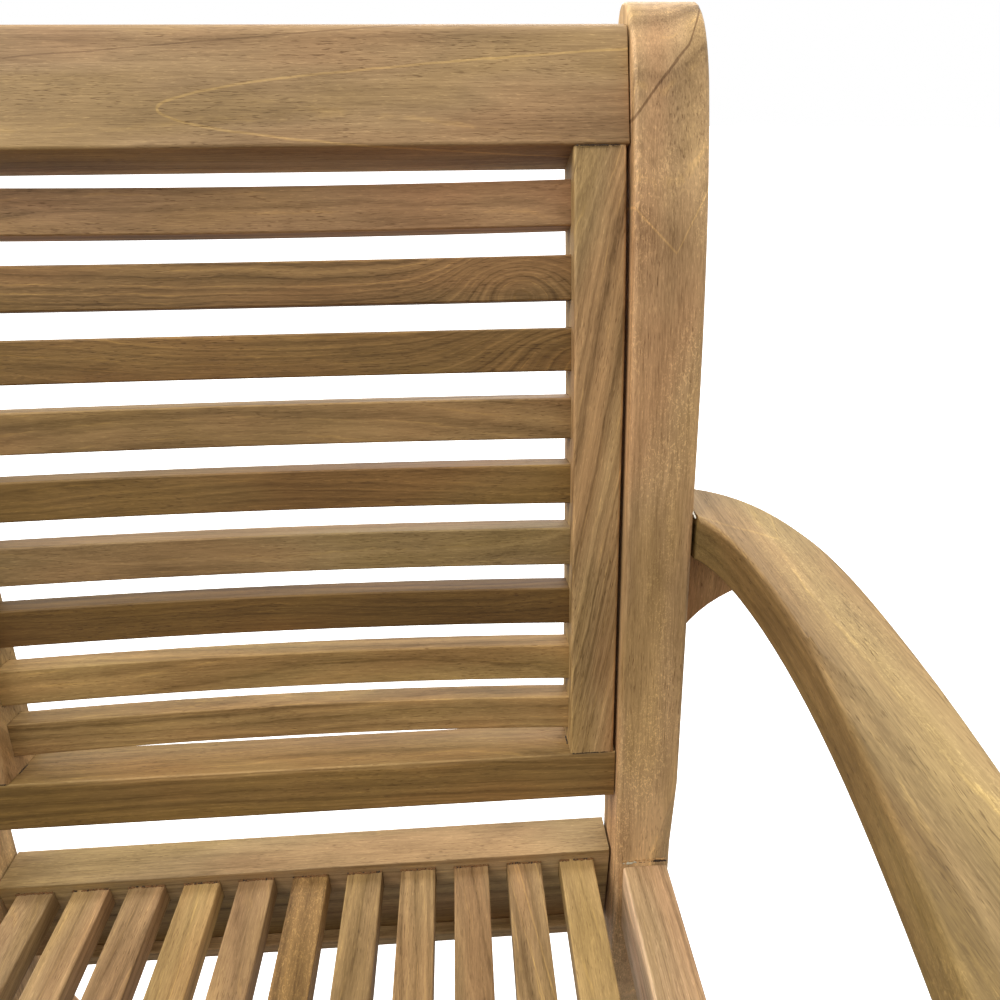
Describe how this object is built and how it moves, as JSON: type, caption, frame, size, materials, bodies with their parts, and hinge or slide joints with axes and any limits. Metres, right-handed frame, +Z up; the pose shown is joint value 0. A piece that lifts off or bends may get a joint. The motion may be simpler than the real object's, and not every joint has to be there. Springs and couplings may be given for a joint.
{
  "type": "slatted garden armchair",
  "caption": "Teak garden armchair with a bowed slatted back, a slatted seat, curved rear posts and arms that bow outwards.",
  "frame": {"origin": "on the ground, under the middle of the chair's outline seen from above", "axes": "+Z up; the sitter looks along -Y; +X to the sitter's left, so it is the right-hand side seen from the front"},
  "size_m": [0.6482, 0.5996, 0.9486],
  "materials": {
    "teak": "fine sanded, untreated",
    "pin_teak": "sanded end grain",
    "screw_steel": "zinc plated"
  },
  "bodies": {
    "root": {"rear_post_right": "teak", "rear_post_left": "teak", "back_stile_right": "teak", "back_stile_left": "teak", "front_leg_right": "teak", "front_leg_left": "teak", "side_seat_rail_right": "teak", "side_seat_rail_left": "teak", "arm_right": "teak", "arm_left": "teak", "arm_corbel_right": "teak", "arm_corbel_left": "teak", "top_rail": "teak", "bottom_back_rail": "teak", "rear_seat_rail": "teak", "rear_rail_ledge": "teak", "front_seat_rail": "teak", "seat_batten": "teak", "back_slat_1": "teak", "back_slat_2": "teak", "back_slat_3": "teak", "back_slat_4": "teak", "back_slat_5": "teak", "back_slat_6": "teak", "back_slat_7": "teak", "back_slat_8": "teak", "back_slat_9": "teak", "seat_slat_1": "teak", "seat_slat_2": "teak", "seat_slat_3": "teak", "seat_slat_4": "teak", "seat_slat_5": "teak", "seat_slat_6": "teak", "seat_slat_7": "teak", "seat_slat_8": "teak", "seat_slat_9": "teak", "seat_slat_10": "teak", "seat_slat_11": "teak", "top_rail_pin_right": "pin_teak", "top_rail_pin_left": "pin_teak", "bottom_rail_pin_right": "pin_teak", "bottom_rail_pin_left": "pin_teak", "rear_seat_rail_pin_right": "pin_teak", "rear_seat_rail_pin_left": "pin_teak", "batten_screw_1": "screw_steel", "batten_screw_2": "screw_steel", "batten_screw_3": "screw_steel", "batten_screw_4": "screw_steel", "batten_screw_5": "screw_steel", "batten_screw_6": "screw_steel", "batten_screw_7": "screw_steel", "batten_screw_8": "screw_steel", "batten_screw_9": "screw_steel", "batten_screw_10": "screw_steel", "batten_screw_11": "screw_steel"}
  },
  "joints": []
}
